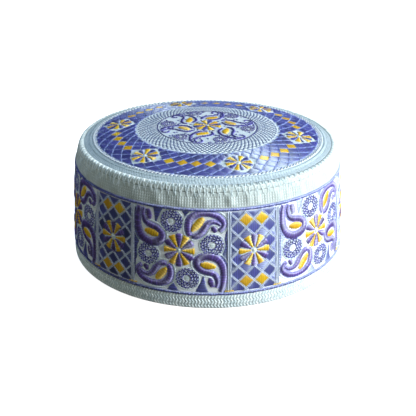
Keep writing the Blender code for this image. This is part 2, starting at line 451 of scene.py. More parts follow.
def satin(
    sewing, place, left, right, height,
    pitch=SATIN_PITCH, profile=PILLOW, slant=0.0, notch=EDGE_NOTCH, valley=VALLEY, own_tone=0.35, wrap=False,
):
    """A strip of stitches laid side by side, each from its left edge to its right one.

    own_tone is how much of a stitch's tone it shares with its whole strip."""
    left, right = np.asarray(left, float), np.asarray(right, float)
    marks = line_marks(0.5 * (left + right))
    count = max(2, round(marks[-1] / pitch))
    stations = np.linspace(0.0, marks[-1], 2 * count + 1)
    ridge = np.arange(2 * count + 1) % 2
    lean = slant * np.minimum(1.0, np.minimum(stations, marks[-1] - stations) / max(slant, pitch))
    a = at_marks(left, marks, stations + lean)
    b = at_marks(right, marks, stations - lean)
    across = b - a
    width = np.linalg.norm(across, axis=1)
    uneven = draw.normal(0.0, 0.5 * notch, (2, 2 * count + 1)) * ridge + notch * (1 - ridge)
    uneven = np.minimum(uneven, 0.2 * width)
    if wrap:
        uneven[:, -1] = uneven[:, 0]
    direction = unit(across)
    a, b = a + direction * uneven[0][:, None], b - direction * uneven[1][:, None]
    share, loft = np.array(profile).T
    flat = a[:, None] + (b - a)[:, None] * share[None, :, None]
    firm = np.where(ridge == 1, 1.0, valley)
    lift = height * np.where(loft[None] > 0, loft[None] * firm[:, None], loft[None])
    if not wrap:
        lift[0] = lift[-1] = height * SUNK
    thread = joined(stations[:, None], width[:, None] * (share - 0.5))
    stitch_tone = np.repeat(draw.random(count + 1), 2)[: 2 * count + 1]
    tone_and_shade = own_tone * draw.random() + (1.0 - own_tone) * stitch_tone
    # Painted shade: the valleys between stitches and the sunk edges are darkened.
    tone_and_shade = tone_and_shade * np.where(ridge == 1, 1.0, VALLEY_PAINTED_SHADE)
    tone_and_shade = tone_and_shade[:, None] * np.where(loft > 0, 1.0, EDGE_PAINTED_SHADE)
    points = place(flat[..., 0], flat[..., 1], lift)
    sewing.add(points[None], thread[None], tone_and_shade[None], wrap)


def band(sewing, place, chart, height, fullness=1.0, edge=0.0, **options):
    """A curved band of satin from a chart of x, y and width."""
    line = smooth(chart)
    left, right = band_edges(line[:, :2], fullness * line[:, 2] + 2 * edge)
    satin(sewing, place, left, right, height, **options)


def edged_band(violet, lavender, place, chart, height, fullness=VIOLET_FULLNESS, edge=LAVENDER_EDGE):
    """A violet band on a wider and lower lavender one."""
    band(lavender, place, chart, 0.4 * height, fullness, edge, pitch=1.1)
    band(violet, place, chart, height, fullness)


def rope(sewing, place, line, width, height, **options):
    """A twisted cord of even width, sewn down along a line."""
    twist = {"pitch": ROPE_PITCH, "slant": ROPE_SLANT, "valley": ROPE_VALLEY, "profile": SMALL_PILLOW}
    left, right = band_edges(np.asarray(line, float), width)
    satin(sewing, place, left, right, height, **(twist | options))


def twin_rope(sewing, place, line, spread, width, height):
    """Two cords side by side, whose middles are spread apart."""
    for side in band_edges(np.asarray(line, float), spread):
        rope(sewing, place, side, width, height)


def laid_stitches(sewing, place, starts, ends, width, height):
    """Single stitches, each between two points."""
    starts, ends = np.asarray(starts, float), np.asarray(ends, float)
    along = ends - starts
    side = unit(joined(-along[:, 1], along[:, 0])) * width
    length_share, waist, rise = np.array(STITCH_LENGTH_STEPS).T
    width_share, loft = np.array(STITCH_WIDTH_STEPS).T
    middle = starts[:, None] + along[:, None] * length_share[None, :, None]
    spread = waist[:, None] * width_share[None]
    flat = middle[:, :, None] + side[:, None, None] * spread[None, :, :, None]
    lift = height * np.minimum(rise[:, None], loft[None]) * np.ones((len(starts), 1, 1))
    length = np.linalg.norm(along, axis=1)[:, None, None]
    thread = joined(spread[None] * width, length * length_share[None, :, None])
    # Painted shade darkens each stitch's sunk edges.
    tone_and_shade = draw.random(len(starts))[:, None, None] * np.where(loft > 0, 1.0, EDGE_PAINTED_SHADE)
    sewing.add(place(flat[..., 0], flat[..., 1], lift), thread, np.broadcast_to(tone_and_shade, lift.shape))


def cell_edges(x, y, half_width, half_height, box, turned_over=False):
    """The edges of a diamond cell, cut off where it leaves its box of x and y limits."""
    if turned_over:
        edges = cell_edges(y, x, half_height, half_width, (*box[2:], *box[:2]))
        return edges and tuple(edge[:, ::-1] for edge in edges)
    heights = y + half_height * np.linspace(0.93, -0.93, 15)
    reach = half_width * (1.0 - np.abs(heights - y) / half_height)
    left, right = np.maximum(x - reach, box[0]), np.minimum(x + reach, box[1])
    kept = (right - left > 0.3) & (heights > box[2]) & (heights < box[3])
    if kept.sum() < 3:
        return None
    return joined(left, heights)[kept], joined(right, heights)[kept]


def petal_flower(violet, gold, place, centre, start, end, gold_turn, size=1.0, stretch=1.0):
    """Six gold petals and six violet ones, satin-stitched across. Stretch draws the flower out in y."""
    for number in range(12):
        sewing, shape = (gold, GOLD_PETAL) if number % 2 == 0 else (violet, VIOLET_PETAL)
        angle = math.radians(gold_turn + 30 * number)
        toward = np.array([math.cos(angle), stretch * math.sin(angle)])
        reach = end if number % 2 == 0 else end * 1.02
        chart = [(*(np.array(centre) + toward * (start + (reach - start) * s)), w * size) for s, w in shape]
        band(sewing, place, chart, 0.85)


def pad(sewing, place, centre, radius, height, pitch=SATIN_PITCH, stretch=1.0):
    """A round pad of satin, or an oval one drawn out in y."""
    level = np.linspace(0.94, -0.94, 13) * radius
    reach = np.sqrt(radius**2 - level**2)
    left, right = (centre + joined(side * reach, stretch * level) for side in (-1, 1))
    satin(sewing, place, left, right, height, pitch=pitch)


def zigzag_ring(sewing, place, centre, inner, outer, teeth, width, height):
    """Stitches that run in and out between two circles, a little unevenly."""
    corner = np.arange(2 * teeth)
    turn = (corner + draw.normal(0.0, 0.15, 2 * teeth)) * np.pi / teeth
    radius = np.where(corner % 2 == 0, inner, outer) + draw.normal(0.0, 0.08, 2 * teeth) * (outer - inner)
    corners = centre + turned(radius, turn)
    laid_stitches(sewing, place, corners, np.roll(corners, -1, axis=0), width, height)


def rosette(work, place, centre, size=1.0):
    """A flat pale eye inside rings of violet zigzags, with white zigzags across them."""
    pad(work["pale"], place, centre, 1.9 * size, 0.25)
    for inner, outer, teeth in ROSETTE_RINGS:
        zigzag_ring(work["loops"], place, centre, inner * size, outer * size, teeth, 0.8 * size, 0.5)
        zigzag_ring(work["white"], place, centre, outer * size, inner * size, teeth, 0.45 * size, 0.4)


def opposite(chart):
    """A panel chart turned half round about its flower."""
    points = np.array(chart, float)
    points[:, :2] = 2 * np.array(PANEL_FLOWER) - points[:, :2]
    return points


def ground(sewing, place, chart, turn):
    """A violet ground from a chart of y, left edge and right edge."""
    y, left, right = np.array(chart, float).T
    satin(sewing, place, turn(joined(left, y)), turn(joined(right, y)), 0.3)


def outline(sewing, place, chart, side):
    """A pale cord beside an edged band: side is 0 for its left and 1 for its right."""
    width = 0.9
    line = smooth(chart)
    spread = VIOLET_FULLNESS * line[:, 2] + 2 * LAVENDER_EDGE + width
    rope(sewing, place, band_edges(line[:, :2], spread)[side], width, 0.5)


def paisley_panel(work, place):
    """Four paisleys and four rosettes about a flower."""
    for turn, first in ((np.array, 1), (opposite, 0)):
        long_body = turn(LONG_PAISLEY_BODY[first:])
        back, front = turn(HOOKED_PAISLEY_BACK), turn(HOOKED_PAISLEY_FRONT)
        for chart in (back, front, long_body):
            edged_band(work["violet"], work["lavender"], place, chart, 0.95)
        for chart in (HOOKED_PAISLEY_CURL, LONG_PAISLEY_CURL):
            band(work["violet"], place, turn(chart), 0.75, VIOLET_FULLNESS)
        for chart in (HOOKED_PAISLEY_SEED, LONG_PAISLEY_SEED):
            band(work["gold"], place, turn(chart), 0.85, SEED_FULLNESS)
        for chart, side in ((back, 0), (front, 1), (long_body, 1)):
            outline(work["pale"], place, chart, side)
        for chart in (SLIVER_GROUND, BAR_GROUND, WEDGE_GROUND):
            ground(work["ground"], place, chart[first:], turn)
    for centre in ROSETTES:
        rosette(work, place, centre)
        rope(work["pale"], place, circle(ROSETTE_ROUND, 36, centre), 0.8, 0.45, wrap=True)
    petal_flower(work["violet"], work["gold"], place, PANEL_FLOWER, 1.6, 10.0, 0.0, stretch=FLOWER_STRETCH)
    pad(work["pale"], place, PANEL_FLOWER, 1.5, 0.95)


def runs(line, kept):
    """The stretches of a line where kept is true."""
    parts = np.split(np.arange(len(line)), np.flatnonzero(np.diff(kept)) + 1)
    return [line[part] for part in parts if kept[part[0]] and len(part) > 3]


def lattice_lines(box, middle, steps):
    """The crossing lines of a lattice whose cells lie at odd sums of steps, cut to its box."""
    low_x, high_x, low_y, high_y = box
    lines = []
    reach = int((high_x - low_x) / steps[0] + (high_y - low_y) / steps[1]) + 2
    for direction in (1, -1):
        for number in range(-reach, reach + 1):
            x = np.linspace(low_x, high_x, 160)
            y = middle[1] + steps[1] * (2 * number - direction * (x - middle[0]) / steps[0])
            inside = (y > low_y) & (y < high_y)
            if inside.sum() > 6:
                lines.append(joined(x, y)[inside])
    return lines


def lattice_panel(work, place):
    """Diamond cells between crossing cords, about a flower."""
    flower, steps = LATTICE_FLOWER, LATTICE_STEPS
    box = (-LATTICE_HALF_WIDTH + 1.1, LATTICE_HALF_WIDTH - 1.1, -PANEL_HALF_HEIGHT, PANEL_HALF_HEIGHT)
    for row in range(-5, 6):
        for column in range(-3, 4):
            x, y = steps[0] * column, flower[1] + steps[1] * row
            if (row + column) % 2 == 0 or math.hypot(x, y - flower[1]) < 11.0:
                continue
            golden = abs(row) == 4 and abs(column) == 1
            edges = cell_edges(x, y, 4.9, 5.1, box, turned_over=golden or column % 2 == 0)
            if edges:
                cell, height = (work["gold"], 0.75) if golden else (work["cells"], 0.35)
                satin(cell, place, *edges, height, pitch=CELL_PITCH, notch=CELL_NOTCH, own_tone=0.75)
    for line in lattice_lines(box, flower, steps):
        for run in runs(line, np.hypot(line[:, 0] - flower[0], line[:, 1] - flower[1]) > 9.9):
            twin_rope(work["white"], place, run, 0.85, 0.65, 0.9)
    pad(work["pale"], place, flower, 9.7, 0.3, stretch=FLOWER_STRETCH)
    petal_flower(work["violet"], work["gold"], place, flower, 1.6, 9.9, 0.0, stretch=FLOWER_STRETCH)
    pad(work["pale"], place, flower, 1.5, 0.95)


def side_embroidery(work):
    for panel in range(PANEL_COUNT):
        turn = panel * 360.0 / PANEL_COUNT
        paisley_panel(work, side_panel(PAISLEY_PANEL_ANGLE + turn))
        lattice = side_panel(LATTICE_PANEL_ANGLE + turn)
        lattice_panel(work, lattice)
        for edge in (-LATTICE_HALF_WIDTH, LATTICE_HALF_WIDTH):
            upright = joined(edge, np.linspace(-PANEL_HALF_HEIGHT, PANEL_HALF_HEIGHT, 40))
            twin_rope(work["white"], lattice, upright, 1.5, 1.05, 1.0)
            band(work["gold"], lattice, [(x + edge, y, w) for x, y, w in GOLD_DASH], 0.9)
        dark_line = joined(LATTICE_HALF_WIDTH + 1.75, PANEL_HALF_HEIGHT * np.linspace(-0.8, 0.95, 30))
        rope(work["loops"], lattice, dark_line, 0.9, 0.5)


def border_cords(work):
    """The violet cords above and below the embroidery, which hide where its cloth is sewn on.

    Here and there a lavender stitch shows on them."""
    turn = np.linspace(0.0, 2 * np.pi * SIDE_REACH, 720)
    width = BORDER_CORD_WIDTH + 0.5 * SEWN_GAP
    inset = 0.5 * BORDER_CORD_WIDTH - SEWN_GAP
    for middle in (BAND_FOOT + inset, BAND_TOP - inset):
        cord = joined(turn, middle)
        rope(work["cords"], side_ring, cord, width, 0.9, pitch=1.55, slant=0.6, valley=VALLEY, wrap=True)
        x = np.arange(SPECK_COUNT) * turn[-1] / SPECK_COUNT + draw.normal(0.0, 0.4, SPECK_COUNT)
        y = middle + draw.normal(0.0, 0.22, SPECK_COUNT)
        slant = draw.uniform(0.1, 0.5, SPECK_COUNT)
        starts, ends = joined(x - 0.6, y - slant), joined(x + 0.6, y + slant)
        laid_stitches(work["specks"], side_ring, starts, ends, 0.75, 1.0)


def ring_grid(count, row_step, rows):
    """The cells of a lattice round the crown: row, column, and the middle's place on the ring chart."""
    half_step = np.pi * RING_MIDDLE / count
    for row in rows:
        for column in range(count):
            yield row, column, half_step * (2 * column + row % 2), RING_MIDDLE + row_step * row


def ring_cells(work):
    """The crown's violet lattice, with gold diamonds between its flowers."""
    half_step = np.pi * RING_MIDDLE / RING_CELLS
    box = (-1e9, 1e9, PALE_RING_RADIUS + 0.4, BORDER_START - 0.4)
    look = {"pitch": CELL_PITCH, "profile": SMALL_PILLOW, "notch": CELL_NOTCH, "own_tone": 0.6}
    for row, column, x, y in ring_grid(RING_CELLS, RING_ROW_STEP, range(-4, 5)):
        edges = cell_edges(x, y, 1.04 * half_step, 1.04 * RING_ROW_STEP, box)
        if edges and not near_flower(x / RING_MIDDLE, y):
            golden = row == 0 and column % 7 in (2, 3, 4, 5)
            satin(work["gold" if golden else "cells"], crown_ring, *edges, 0.45, **look)
    for line in ring_lines(RING_CELLS, RING_ROW_STEP, PALE_RING_RADIUS, BORDER_START):
        rope(work["blue"], crown_ring, line, 0.6, 0.6)


def near_flower(angle, r):
    """Whether a place on the crown's ring lies under one of its flowers."""
    turn = 2 * np.pi / PANEL_COUNT
    away = (angle + 0.5 * turn) % turn - 0.5 * turn
    return np.hypot(r * np.sin(away), r * np.cos(away) - CROWN_FLOWER_RADIUS) < CROWN_FLOWER_ROUND + 0.6


def ring_lines(count, row_step, inner, outer):
    """Spiral lines both ways across a ring of the crown, cut where a flower lies."""
    half_step = np.pi * RING_MIDDLE / count
    y = np.linspace(inner, outer, 60)
    lines = []
    for direction in (1, -1):
        for number in range(count):
            x = half_step * (2 * number + 1 + direction * (y - RING_MIDDLE) / row_step)
            lines += runs(joined(x, y), ~near_flower(x / RING_MIDDLE, y))
    return lines


def pale_ring(work):
    """The fine pale lattice between the medallion and the violet ring."""
    half_step = np.pi * RING_MIDDLE / PALE_CELLS
    box = (-1e9, 1e9, MEDALLION_RADIUS + 0.6, PALE_RING_RADIUS - 0.2)
    first = math.floor((MEDALLION_RADIUS - RING_MIDDLE) / PALE_ROW_STEP)
    last = math.ceil((PALE_RING_RADIUS - RING_MIDDLE) / PALE_ROW_STEP)
    for _, _, x, y in ring_grid(PALE_CELLS, PALE_ROW_STEP, range(first, last + 1)):
        edges = cell_edges(x, y, 0.9 * half_step, 0.88 * PALE_ROW_STEP, box)
        if edges:
            satin(work["pale_cells"], crown_ring, *edges, 0.28, profile=SMALL_PILLOW, notch=CELL_NOTCH)
    for line in ring_lines(PALE_CELLS, PALE_ROW_STEP, MEDALLION_RADIUS, PALE_RING_RADIUS):
        rope(work["slate"], crown_ring, line[::4], 0.7, 0.35, pitch=2.4)


def crown_flowers(work):
    for number in range(PANEL_COUNT):
        place = crown_sector(60.0 * number)
        centre = (0.0, CROWN_FLOWER_RADIUS)
        pad(work["rounds"], place, centre, CROWN_FLOWER_ROUND, 0.3, pitch=0.8)
        petal_flower(work["violet"], work["gold"], place, centre, 1.4, 8.7, 60.0, size=0.84)
        pad(work["pale"], place, centre, 1.2, 0.9)


def medallion(work):
    """The crown's middle: a flower, six paisleys and six rosettes inside a thin ring."""
    for number in range(PANEL_COUNT):
        place = crown_sector(CROWN_PAISLEY_ANGLE + 60.0 * number)
        for chart in (CROWN_PAISLEY, CROWN_PAISLEY_TAIL):
            edged_band(work["ink"], work["lavender"], place, chart, 0.75, fullness=0.85, edge=0.35)
        band(work["gold"], place, CROWN_PAISLEY_SEED, 0.85, SEED_FULLNESS)
        rosette(work, crown_sector(60.0 * number), (0.0, CROWN_ROSETTE_REACH), size=0.66)
    crown_curls(work["loops"])
    petal_flower(work["violet"], work["gold"], crown_sector(0.0), (0.0, 0.0), 1.4, 9.4, 93.0, size=0.88)
    pad(work["pale"], crown_sector(0.0), (0.0, 0.0), 1.3, 0.9)
    rope(work["ink"], crown_sector(0.0), circle(MEDALLION_RADIUS, 240), 0.9, 0.4, wrap=True)


def crown_curls(sewing):
    """Small dark curls that fill the medallion's ground between its paisleys and rosettes."""
    taken = []
    for number in range(PANEL_COUNT):
        for chart in (CROWN_PAISLEY, CROWN_PAISLEY_TAIL, CROWN_PAISLEY_SEED):
            taken.append(around(*smooth(chart)[:, :2].T, CROWN_PAISLEY_ANGLE + 60.0 * number))
        taken.append(around(*circle(3.6, 12, (0.0, CROWN_ROSETTE_REACH)).T, 60.0 * number))
    taken = np.concatenate(taken, axis=1).T
    spots = []
    for x, y in draw.uniform(-MEDALLION_RADIUS, MEDALLION_RADIUS, (CURL_TRIES, 2)):
        spot = np.array([x, y])
        if not CURL_TO_CENTRE < math.hypot(x, y) < MEDALLION_RADIUS - 1.4:
            continue
        if np.linalg.norm(taken - spot, axis=1).min() < CURL_TO_MOTIF:
            continue
        if all(np.linalg.norm(spot - other) > CURL_TO_CURL for other in spots):
            spots.append(spot)
    start = draw.random(len(spots)) * 2 * np.pi
    corners = [spots + turned(CURL_RADIUS, start + bend) for bend in (0.0, 1.6, 3.1, 4.4)]
    for a, b in zip(corners, corners[1:]):
        laid_stitches(sewing, crown_sector(-90.0), a, b, 0.5, 0.4)


def stitch_row(sewing, r, length, pitch, width, height, phase):
    """A ring of running stitches at radius r of the crown's ring chart."""
    count = round(2 * np.pi * r / pitch)
    x = (np.arange(count) + phase) * 2 * np.pi * RING_MIDDLE / count
    half = 0.5 * length * RING_MIDDLE / r
    start, end = r + draw.normal(0.0, 0.05, (2, count))
    laid_stitches(sewing, crown_ring, joined(x - half, start), joined(x + half, end), width, height)


def crown_border(work):
    """Rows of fine running stitches over the quilted rolls."""
    for r in BORDER_START + 2.3 + 0.9 * np.arange(6):
        stitch_row(work["border"], r, 1.75, 1.95, 0.5, 0.22, draw.random())


def dotted_rings(work):
    """Two rings of white and dark stitches in turn, between the crown's lattice and its border."""
    for r in (BORDER_START + 0.2, BORDER_START + 1.4):
        stitch_row(work["white"], r, 1.5, 2.6, 0.8, 0.35, 0.0)
        stitch_row(work["slate"], r, 0.8, 2.6, 0.7, 0.3, 0.5)


def edge_profile():
    """The way from the crown over the seam to the shoulder: distances from the seam's ridge, and (r, z)."""
    crown_r = np.linspace(74.0, CROWN_RADIUS - SEAM_WIDTH, 20)[:-1]
    side_z = np.linspace(CROWN_FOOT, SHOULDER_FOOT, 20)[1:]
    crown_part, side_part = joined(crown_r, crown_height(crown_r)), joined(side_radius(side_z), side_z)
    path = np.concatenate([crown_part, seam_curve(17), side_part])
    marks = line_marks(path)
    return marks - marks[len(crown_part) + 8], path


EDGE_MARKS, EDGE_PATH = edge_profile()


def edge_place(x, y, lift):
    """Places a strip chart along the crown's edge: y is 0 on the seam's ridge and grows downwards."""
    here, ahead, behind = (at_marks(EDGE_PATH, EDGE_MARKS, y + step) for step in (0.0, 0.3, -0.3))
    along = unit(ahead - behind)
    angle = x / CROWN_RADIUS
    radius = here[..., 0] * oval(angle) - along[..., 1] * lift + shoulder_folds(angle, here[..., 1])
    return turned(radius, angle, here[..., 1] + along[..., 0] * lift)


def shoulder_folds(turn, z):
    """How far the shoulder's gathers and uneven folds stand out, which is 0 above and below it."""
    folds = 0.0
    for count, height, phase in FOLDS:
        folds = folds + height * np.cos(count * turn + phase)
    folds = folds * (0.6 - 0.4 * np.cos(3 * turn)) + GATHER_DEPTH * np.cos(GATHER_COUNT * turn)
    return folds * swell((z - SHOULDER_FOOT) / SHOULDER_HEIGHT)


def shoulder_ring(x, y, lift):
    """Places a strip chart round the shoulder, over its folds."""
    angle = x / SIDE_REACH
    return side_point(angle, y, lift + shoulder_folds(angle, y))


def seam_hooks(work):
    """The overcast stitches: each rises from the shoulder to a peak over the ridge and comes down again.

    Short slanting stitches lie between their feet."""
    sewing, count, ridge = work["seam"], HOOK_COUNT, 0.2
    pitch = 2 * np.pi * CROWN_RADIUS / count
    x = np.arange(count) * pitch + draw.normal(0.0, 0.12, count)
    peak = joined(x, draw.normal(HOOK_PEAK, 0.15, count))
    foot = draw.normal(HOOK_FOOT, 0.2, count)
    for side in (-1.0, 1.0):
        bend = joined(x + side * (0.14 * pitch + 0.35), ridge)
        low = joined(x + side * (0.38 * pitch + 0.25), foot)
        laid_stitches(sewing, edge_place, peak + (0.2 * side, 0.0), bend + (0.05 * side, 0.3), 0.85, 0.65)
        laid_stitches(sewing, edge_place, bend - (0.05 * side, 0.4), low, 0.6, 0.35)
        start = x + draw.normal(0.5 * pitch, 0.4, count)
        top = joined(start, draw.normal(1.6, 0.3, count))
        cross = joined(start + side * draw.normal(0.9, 0.2, count), draw.normal(5.6, 0.4, count))
        laid_stitches(sewing, edge_place, top, cross, 0.6, 0.3)
    laid_stitches(sewing, edge_place, joined(x + 0.4, ridge), joined(x + pitch - 0.4, ridge), 0.6, 0.4)


def shoulder_stitches(work):
    """Rows of running stitches from one needle hole to the next."""
    step = 2 * np.pi * SIDE_REACH / NEEDLE_COUNT
    x = np.arange(NEEDLE_COUNT) * step
    for row in NEEDLE_ROWS:
        starts = joined(x + 0.18 * step, draw.normal(row, 0.06, NEEDLE_COUNT))
        ends = joined(x + 0.82 * step, draw.normal(row, 0.06, NEEDLE_COUNT))
        laid_stitches(work["shoulder"], shoulder_ring, starts, ends, 0.42, 0.15)


def hem_stitches(work):
    """Rows of slanting stitches that lean one way and the other, so that they form upright zigzags."""
    step = (HEM_HEIGHT - 1.0) / HEM_ROWS
    for row in range(HEM_ROWS):
        low = HEM_ROW_FOOT + row * step
        lean = HEM_HALF_LEAN if row % 2 else -HEM_HALF_LEAN
        x = np.arange(HEM_ROW_COUNT) * 2 * np.pi * SIDE_REACH / HEM_ROW_COUNT
        x = x + draw.normal(0.0, 0.05, HEM_ROW_COUNT)
        top = draw.normal(low + step + 0.5, 0.05, HEM_ROW_COUNT)
        laid_stitches(work["hem"], side_ring, joined(x - lean, low), joined(x + lean, top), 1.2, 0.22)


def turned_cloth(name, material, slot, solid, profile, steps, relief=None):
    """Cloth turned round the cap from a closed profile of (r, z), in place of a solid.

    Relief moves it outwards and paints shade on it."""
    profile = np.array([*profile, profile[0]], float)
    angle = np.linspace(0.0, 2 * np.pi, steps + 1)[:, None]
    turn, r, z, marks = np.broadcast_arrays(angle, *profile.T, line_marks(profile))
    out, shade = relief(turn, z, r) if relief else (0.0, np.ones(r.shape))
    points, thread = turned(r * oval(turn) + out, turn, z), joined(turn * SIDE_REACH, marks)
    sewing = Sewing()
    sewing.add(points[None], thread[None], shade[None], wrap=True, closed=True)
    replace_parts(sewing.finish(name, material, slot), solid)


def wall(start, end, count, depth=0.0):
    """Points (r, z) along the side's face, or depth inside it."""
    return [(side_radius(z) - depth, z) for z in np.linspace(start, end, count)]


def hem_profile():
    """The folded hem, with its edge rounded outside and inside."""
    outer = wall(HEM_HEIGHT, HEM_EDGE_ROUND, 26)
    foot = outer[-1][0] - HEM_EDGE_ROUND
    edge = []
    for middle, turns in (
        (foot, np.linspace(-22.5, -90.0, 4)),
        (foot - HEM_WALL + 2 * HEM_EDGE_ROUND, np.linspace(-90.0, -180.0, 5)),
    ):
        rounded = (middle, HEM_EDGE_ROUND) + turned(HEM_EDGE_ROUND, np.radians(turns))
        edge.extend(rounded)
    return [*outer, *edge, *wall(HEM_EDGE_ROUND, HEM_HEIGHT, 6, HEM_WALL)[1:]]


def shoulder_relief(turn, z, r):
    """The shoulder's folds, with rows of needle holes where painted shade darkens the cloth."""
    holes = np.zeros(turn.shape)
    for row in NEEDLE_ROWS:
        across = np.exp(-(((z - row) / NEEDLE_SPREAD) ** 2))
        holes = holes + across * np.maximum(np.cos(NEEDLE_COUNT * turn), 0.0)
    outside = r > side_radius(z) - 0.5 * SIDE_WALL
    relief = shoulder_folds(turn, z) - NEEDLE_DEPTH * holes
    # Painted shade: the cloth is darkened in the needle holes.
    return np.where(outside, relief, 0.0), np.where(outside, 1.0 - 0.5 * holes, 1.0)


def crown_cloth(name, material):
    """The crown, its face and its underside, closed at the centre."""
    inner, foot = CROWN_RADIUS - SEAM_WIDTH, side_radius(CROWN_FOOT)
    drop = dome_height(inner) - CROWN_FOOT
    gap = SEWN_GAP * math.hypot(foot - inner, drop) / drop
    landing = side_radius(SHOULDER_TOP) - SIDE_WALL - SEWN_GAP
    face_r = np.concatenate([np.linspace(0.0, 72.0, 37)[1:], np.linspace(72.5, inner - 0.5 * gap, 22)])
    below_r = np.linspace(BORDER_START, 0.0, 12)[:-1]
    face, below = joined(face_r, crown_height(face_r)), joined(below_r, dome_height(below_r) - CROWN_WALL)
    profile = np.concatenate([face, [(foot - gap, CROWN_FOOT), (landing, CROWN_FOOT)], below])
    angle = np.linspace(0.0, 2 * np.pi, CROWN_STEPS + 1)[:, None]
    points = turned(profile[:, 0] * oval(angle), angle, profile[:, 1])
    sewing = Sewing()
    sewing.add(points[None], points[None, ..., :2], np.ones((1, *points.shape[:2])), wrap=True)
    close_centre(sewing, CROWN_STEPS, len(profile), float(dome_height(0.0)))
    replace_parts(sewing.finish(name, material, "crown_cloth"), "crown_panel")


def close_centre(sewing, steps, rows, height):
    """Fans from the crown's centre to its first ring, on the face and on the underside."""
    ring = np.arange(steps) * rows
    for row, z, flip in ((0, height, False), (rows - 1, height - CROWN_WALL, True)):
        centre = sewing.count
        sewing.points.append(np.array([[0.0, 0.0, z]]))
        sewing.count += 1
        near, far = ring + row, np.roll(ring, -1) + row
        pairs = np.stack([near[::2], far[::2], far[1::2]], -1)
        fan = np.concatenate([np.full((len(pairs), 1), centre), pairs], 1)
        fan = fan[:, ::-1] if flip else fan
        points = np.concatenate(sewing.points)
        sewing.quads.append(fan)
        sewing.threads.append(points[fan][..., :2])
        sewing.tones_and_shades.append(np.ones(fan.shape))


# The length of one band of a wave texture of scale 1.
WAVE_PERIOD = math.pi / 10


def feed(made, inputs):
    """Gives a node its inputs, each a value or another node's output."""
    for name, value in inputs.items():
        if isinstance(value, bpy.types.NodeSocket):
            made.id_data.links.new(value, made.inputs[name])
        else:
            made.inputs[name].default_value = value


def node(tree, kind, output, inputs, **settings):
    """One output of a new shader node with these inputs and settings."""
    made = tree.nodes.new(kind)
    for name, value in settings.items():
        setattr(made, name, value)
    feed(made, inputs)
    return made.outputs[output]


def blended(tree, factor, dark, light):
    """A colour between two, each of which is a colour or a node's output."""
    return node(tree, "ShaderNodeMix", 2, {0: factor, 6: dark, 7: light}, data_type="RGBA")


def new_material(name):
    """A material, its node tree and its shader."""
    material = bpy.data.materials.new(name)
    material.use_nodes = True
    return material, material.node_tree, material.node_tree.nodes["Principled BSDF"]


def thread_material(name, dark, light, gloss=0.5, gloss_tint=(1.0, 1.0, 1.0), ior=1.5):
    """Rayon thread: strands, fine fibres along them, and a separate tone for each stitch, with painted shade
    that darkens it between stitches and along their edges.

    Thread is smooth along its length and round across it, so it shines where it lies across the light."""
    material, tree, shader = new_material(name)
    where = node(tree, "ShaderNodeUVMap", "UV", {}, uv_map="thread")
    along = node(tree, "ShaderNodeMapping", "Vector", {"Vector": where, "Scale": (9.0, 0.7, 1.0)})
    fibre = node(tree, "ShaderNodeTexNoise", "Fac", {"Vector": along, "Scale": 1.0, "Detail": 3.0})
    wave = {"Vector": where, "Scale": WAVE_PERIOD / STRAND_WIDTH, "Distortion": 0.8, "Detail Scale": 2.0}
    strand = node(tree, "ShaderNodeTexWave", "Fac", wave, bands_direction="X")
    relief = node(tree, "ShaderNodeMath", 0, {0: strand, 1: fibre}, operation="ADD")
    # Each stitch's tone, darkened by painted shade between stitches and along their edges.
    stitch_tone_and_shade = node(tree, "ShaderNodeAttribute", "Fac", {}, attribute_name="tone_and_shade")
    mixed = node(tree, "ShaderNodeMath", 0, {0: stitch_tone_and_shade, 1: 2.6, 2: relief}, operation="MULTIPLY_ADD")
    share = node(tree, "ShaderNodeMapRange", "Result", {"Value": mixed, "From Min": 0.6, "From Max": 3.4})
    rough = {"Value": share, "To Min": 0.85, "To Max": 0.48}
    bump = {"Height": relief, "Strength": 0.7, "Distance": 0.00007}
    feed(shader, {
        "Base Color": blended(tree, share, (*dark, 1.0), (*light, 1.0)),
        "Roughness": node(tree, "ShaderNodeMapRange", "Result", rough),
        "Normal": node(tree, "ShaderNodeBump", "Normal", bump),
        "Tangent": node(tree, "ShaderNodeTangent", "Tangent", {}, direction_type="UV_MAP", uv_map="thread"),
        "Specular IOR Level": gloss,
        "Specular Tint": (*gloss_tint, 1.0),
        "IOR": ior,
        "Anisotropic": 0.9,
    })
    return material


def cloth_material(name, dark, light, pitch=0.55):
    """Woven cloth: warp and weft as two crossing waves, with slow changes of tone and painted shade in the
    needle holes.
    """
    material, tree, shader = new_material(name)
    where = node(tree, "ShaderNodeUVMap", "UV", {}, uv_map="thread")
    scale = WAVE_PERIOD / pitch
    wave = {"Vector": where, "Scale": scale, "Distortion": 0.6, "Detail": 1.0, "Detail Scale": 1.5}
    warp, weft = (node(tree, "ShaderNodeTexWave", "Fac", wave, bands_direction=way) for way in "XY")
    weave = node(tree, "ShaderNodeMath", 0, {0: warp, 1: weft}, operation="MULTIPLY")
    cloud = node(tree, "ShaderNodeTexNoise", "Fac", {"Vector": where, "Scale": 0.12, "Detail": 4.0})
    both = node(tree, "ShaderNodeMath", 0, {0: weave, 1: cloud}, operation="ADD")
    share = node(tree, "ShaderNodeMapRange", "Result", {"Value": both, "From Min": 0.3, "From Max": 1.3})
    # Painted shade from the mesh, darkest in the needle holes.
    shade = node(tree, "ShaderNodeAttribute", "Fac", {}, attribute_name="tone_and_shade")
    tone = blended(tree, share, (*dark, 1.0), (*light, 1.0))
    rough = {"Value": weave, "To Min": 0.85, "To Max": 0.62}
    bump = {"Height": weave, "Strength": 0.6, "Distance": 0.00009}
    feed(shader, {
        "Base Color": blended(tree, shade, (*(0.22 * value for value in dark), 1.0), tone),
        "Roughness": node(tree, "ShaderNodeMapRange", "Result", rough),
        "Normal": node(tree, "ShaderNodeBump", "Normal", bump),
        "Sheen Weight": 0.3,
        "Sheen Roughness": 0.5,
    })
    return material
